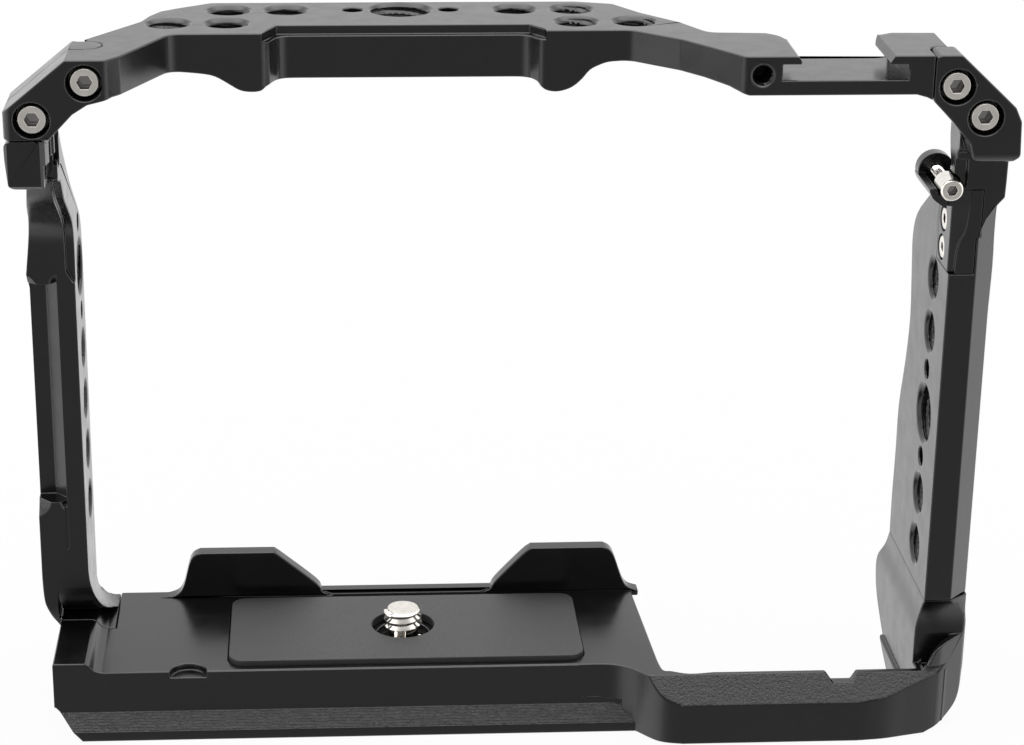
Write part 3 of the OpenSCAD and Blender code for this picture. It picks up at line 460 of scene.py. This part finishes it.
def thread(name, form, z0, z1, steps):
    """a helical screw body along z, flat at both ends"""
    root, crest, pitch = form
    bpy.ops.mesh.primitive_plane_add(size=0.001)
    piece = bpy.context.object
    piece.name = name
    line = [(root, 0.0), (root, 0.14), (crest, 0.44), (crest, 0.56), (root, 0.86), (root, 1.0)]
    edit_all(piece)
    bpy.ops.mesh.merge(type="CENTER")
    bpy.ops.transform.translate(value=(root * MM, 0, (z0 - pitch) * MM))
    for (r0, s0), (r1, s1) in zip(line, line[1:]):
        bpy.ops.mesh.extrude_region_move(
            TRANSFORM_OT_translate={"value": ((r1 - r0) * MM, 0, (s1 - s0) * pitch * MM)})
    leave()
    modify(piece, "SCREW", angle=math.tau, screw_offset=pitch * MM,
           iterations=math.ceil((z1 - z0) / pitch) + 2, steps=steps, render_steps=steps, axis="Z",
           use_merge_vertices=True, merge_threshold=1e-6)
    for z, inner in ((z0, True), (z1, False)):
        edit_all(piece)
        bpy.ops.mesh.bisect(plane_co=(0, 0, z * MM), plane_no=(0, 0, 1), use_fill=True,
                            clear_inner=inner, clear_outer=not inner, threshold=1e-7)
        leave()
    clean(piece)
    return piece


def lay_along(piece, place, axis):
    """moves a tool made along z to its place and direction"""
    piece.location = place
    piece.rotation_euler = Vector(axis).to_track_quat("Z", "Y").to_euler()
    settle(piece)


def thread_groove(name, form, z0, z1, outer):
    """the ring that leaves a helical thread when it is cut from a plain shank"""
    root, crest, pitch = form
    core = thread(name + "_core", (root, crest + 0.03, pitch), z0 - 0.2, z1 + 0.2, 32)
    bpy.ops.mesh.primitive_cylinder_add(vertices=48, radius=outer * MM, depth=(z1 - z0) * MM,
                                        location=(0, 0, (z0 + z1) / 2 * MM))
    ring = bpy.context.object
    ring.name = name
    settle(ring)
    cut(ring, core)
    return ring


def tap_holes(piece, start):
    """cuts the threads into the tapped holes of a plate and returns where they are"""
    zones = []
    for name, mount in MOUNTS.items():
        if mount["kind"] != "threaded_hole" or not name.startswith(start):
            continue
        form = TAPS[round(mount["dims"]["r_mm"], 3)]
        half = mount["dims"]["length_mm"] / 2
        low = -half + BLIND_STOP if start in BLIND else -half - TAP_RUN_OUT
        tool = thread(name + "_tap", form, low, half + TAP_RUN_OUT, 24)
        lay_along(tool, mount["pos_m"], mount["axis"])
        cut(piece, tool, "EXACT" if start == "tripod" else "MANIFOLD")
        zones.append((Vector(mount["pos_m"]), Vector(mount["axis"]), (form[1] + 0.15) * MM,
                      (half + 0.8) * MM))
    return zones


def thread_camera_screw(piece, low, high):
    """the thread that takes the camera, on the screw's upper end"""
    cut(piece, thread_groove("camera_screw_groove", QUARTER_SCREW, high.z - 3, high.z + 0.5, 4.5))
    return [(Vector((0, 0, high.z - 1)) * MM, Vector((0, 0, 1)), 3.3 * MM, 2.2 * MM)]


def thread_lug_screw(piece, low, high):
    """the fine thread along the lug screw's shank"""
    neck = Vector(((low.x + high.x) / 2, low.y + LUG_HEAD, (low.z + high.z) / 2)) * MM
    length = high.y - low.y - LUG_HEAD
    groove = thread_groove("lug_screw_groove", LUG_THREAD, 0.02, length + 0.3, 1.6)
    lay_along(groove, neck, (0, 1, 0))
    cut(piece, groove)
    middle = neck + Vector((0, length / 2, 0)) * MM
    return [(middle, Vector((0, 1, 0)), 1.1 * MM, (length / 2 + 0.05) * MM)]


# ---------- places on the pieces; c is a face's centre in mm, n its normal ----------

def on_dovetail(c, n):
    """the dovetail's near flank"""
    return n.y < -0.5 and abs(n.z) > 0.5 and c.z < 6 and c.y < -14 and c.x < 45


def on_bar(c, n):
    """the bevel of the bar in front of the battery door"""
    return n.y < -0.6 and n.z > 0.3 and 44 < c.x < 86 and c.y < -17.5 and c.z > 5


def on_rail(c, n):
    """the rail's bevel on the left side plate"""
    return n.x < -0.5 and n.y < -0.5 and c.y < 3 and 34 < c.z < 76 and c.x < -57


def on_base_rim(edge):
    """the edges between the base's near face and its top"""
    a, b = (v.co / MM for v in edge.verts)
    return max(abs(a.y - BASE_NEAR), abs(b.y - BASE_NEAR)) < 0.05 and min(a.z, b.z) > 11


def in_socket(low, high, along, reach):
    """picks the faces of a screw's hex socket, which get painted shade; its head is at the low end of that
    axis
    """
    middle = (low + high) / 2

    def wanted(c, n):
        off = c - middle
        off[along] = 0
        return off.length < reach and SOCKET_DEPTH[0] < c[along] - low[along] < SOCKET_DEPTH[1]
    return wanted


def paint_faces(piece, matter, wanted):
    """gives the faces that are wanted another material: the painted shade of the hex sockets, or the coarse
    grey with its painted highlight
    """
    piece.data.materials.append(matter)
    last = len(piece.data.materials) - 1
    for face in piece.data.polygons:
        if wanted(face.center / MM, face.normal):
            face.material_index = last


def dress(piece, matter, body, replaced):
    piece.data.materials.clear()
    piece.data.materials.append(matter)
    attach(piece, body)
    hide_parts(replaced)


# ---------- pieces ----------

def make_plates():
    skin = anodised()
    coarse_and_highlit = coarse_skin_and_highlight("blasted_grain_and_highlight")
    lined_and_highlit = coarse_skin_and_highlight("lined_flank_and_highlight", 0.4)
    # the dovetail's flank, the bar's bevel and the rail's bevel get the lighter coarse grey, partly real
    # grain and partly a painted highlight
    rough = {"base_plate": ((lined_and_highlit, on_dovetail), (coarse_and_highlit, on_bar)), "left_side_plate": ((coarse_and_highlit, on_rail),)}
    for name, (edge, starts) in PLATES.items():
        piece = copy_of(name, name + "_body", 0)
        zones = []
        for start in starts:
            zones += tap_holes(piece, start)
        clean(piece, 0.4)
        if name == "base_plate":
            break_edges(piece, edge, zones, on_base_rim, BASE_RIM)
        else:
            break_edges(piece, edge, zones)
        settle_skin(piece, NODES[name], zones)
        smooth(piece)
        dress(piece, skin, "cage", name)
        for matter, wanted in rough.get(name, ()):
            paint_faces(piece, matter, wanted)


def make_pad():
    pad = copy_of("camera_pad", "pad")
    break_edges(pad, PAD_EDGE)
    smooth(pad)
    dress(pad, rubber(), "cage", "camera_pad")


def make_metal():
    """the screws, pins and clip"""
    nickel = plated("nickel_steel", (0.76, 0.73, 0.68))
    # painted shade: the hex sockets' walls get a nickel about a third as bright, for the shade inside the
    # recess
    socket_shade = plated("socket_painted_shade", (0.26, 0.25, 0.24))
    threads = {"camera_screw": thread_camera_screw, "lug_screw": thread_lug_screw}
    for name, source in NODES.items():
        if name in PLATES or name == "camera_pad":
            continue
        piece = copy_of(name, name + "_metal")
        low, high = (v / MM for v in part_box(name))
        zones = threads[name](piece, low, high) if name in threads else ()
        break_edges(piece, METAL_EDGE, zones)
        settle_skin(piece, source, zones)
        smooth(piece)
        dress(piece, nickel, source["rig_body"], name)
        socket = SOCKETS.get(name.split("_")[0])
        if socket and "_screw" in name:
            # the sockets' faces take the darker nickel, painted shade in the recess
            paint_faces(piece, socket_shade, in_socket(low, high, *socket))


bpy.context.scene.view_settings.view_transform = "Standard"
aim_camera()
light_world()
lay_floor()
let_go()

make_plates()
make_pad()
make_metal()
